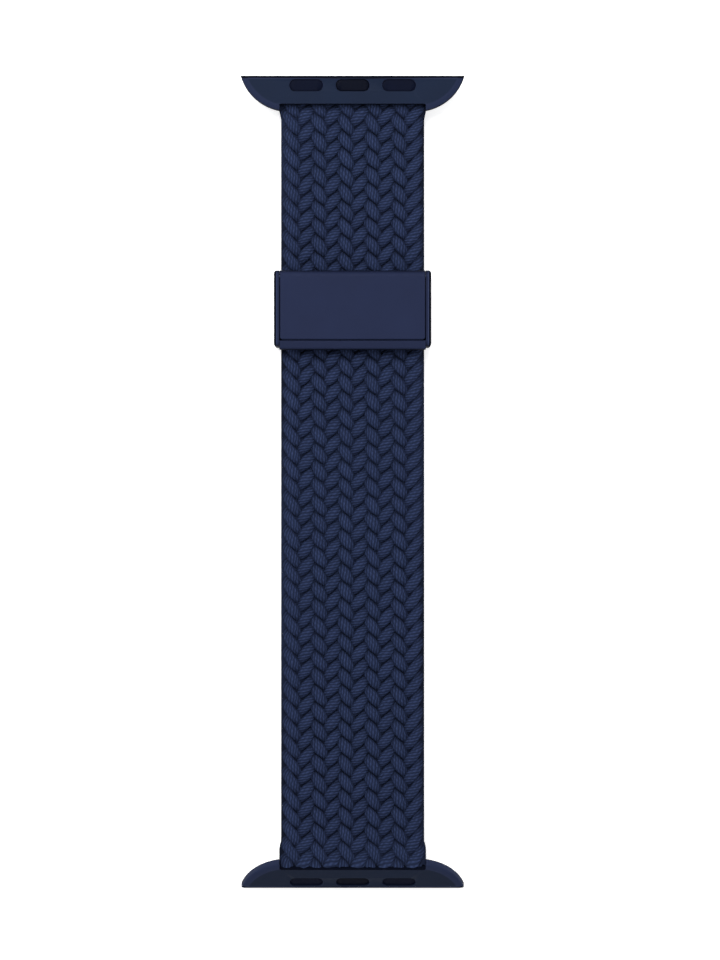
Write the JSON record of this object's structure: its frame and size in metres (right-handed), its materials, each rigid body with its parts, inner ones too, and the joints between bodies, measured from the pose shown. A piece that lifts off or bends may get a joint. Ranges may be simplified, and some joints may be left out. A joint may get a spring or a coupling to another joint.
{
  "type": "watch strap",
  "caption": "Braided elastic watch strap with slide-in case adapters and a sliding flip-lock buckle with a toothed jaw",
  "frame": {"origin": "middle of the strap's length and width, on the surface that its back lies on", "axes": "+X across the strap, +Y along the strap towards the end that folds over the adapter above the buckle, +Z out of the front face"},
  "size_m": [0.0368, 0.1333, 0.0071],
  "materials": {
    "navy_metal": "fine satin navy coating on metal",
    "braid": "braided nylon over elastic yarn",
    "steel": "plain stainless",
    "pad": "matt soft rubber",
    "button": "dark moulded latch",
    "bond": "heat bonded film"
  },
  "bodies": {
    "root": {"front_band": "braid", "lower_fold": "braid", "tail_bond_strip": "bond"},
    "upper_loop": {"upper_fold": "braid", "front_band_upper": "braid", "return_band": "braid"},
    "buckle": {"buckle_frame": "navy_metal", "back_bar": "steel", "cover_pin": "steel", "grip_pad": "pad", "end_clip": "steel", "band_end": "braid"},
    "cover": {"flip_cover": "navy_metal", "toothed_jaw": "steel", "jaw_rivets": "steel"},
    "upper_lug": {"upper_lug_body": "navy_metal", "upper_lug_bar": "steel", "upper_left_pad": "pad", "upper_right_pad": "pad", "upper_latch_springs": "steel"},
    "upper_latch": {"upper_latch_button": "button"},
    "lower_lug": {"lower_lug_body": "navy_metal", "lower_lug_bar": "steel", "lower_left_pad": "pad", "lower_right_pad": "pad", "lower_latch_springs": "steel"},
    "lower_latch": {"lower_latch_button": "button"}
  },
  "joints": [
    {"name": "strap_adjust", "type": "slide", "parent": "root", "child": "upper_loop", "axis": [0, 1, 0], "range_m": [-0.012, 0.012], "deforming": ["front_band_upper"]},
    {"name": "buckle_slide", "type": "slide", "parent": "upper_loop", "child": "buckle", "axis": [0, 1, 0], "range_m": [-0.012, 0.012], "deforming": ["return_band"]},
    {"name": "cover_hinge", "type": "hinge", "parent": "buckle", "child": "cover", "pos_m": [0, 0.0337, 0.00605], "axis": [-1, 0, 0], "range_deg": [0, 110]},
    {"name": "upper_lug_swivel", "type": "hinge", "parent": "upper_loop", "child": "upper_lug", "pos_m": [0, 0.0623, 0.0022], "axis": [-1, 0, 0], "range_deg": [-6, 70]},
    {"name": "upper_latch_press", "type": "slide", "parent": "upper_lug", "child": "upper_latch", "axis": [0, 0, -1], "range_m": [0, 0.0004], "stiffness_N_per_m": 150, "springref_m": -0.0003, "deforming": ["upper_latch_springs"]},
    {"name": "lower_lug_swivel", "type": "hinge", "parent": "root", "child": "lower_lug", "pos_m": [0, -0.06122, 0.0022], "axis": [1, 0, 0], "range_deg": [-48, 28]},
    {"name": "lower_latch_press", "type": "slide", "parent": "lower_lug", "child": "lower_latch", "axis": [0, 0.6691, -0.7431], "range_m": [0, 0.0004], "stiffness_N_per_m": 150, "springref_m": -0.0003, "deforming": ["lower_latch_springs"]}
  ],
  "couplings": [
    {"joint": "buckle_slide", "follows": "strap_adjust", "ratio": 1}
  ]
}
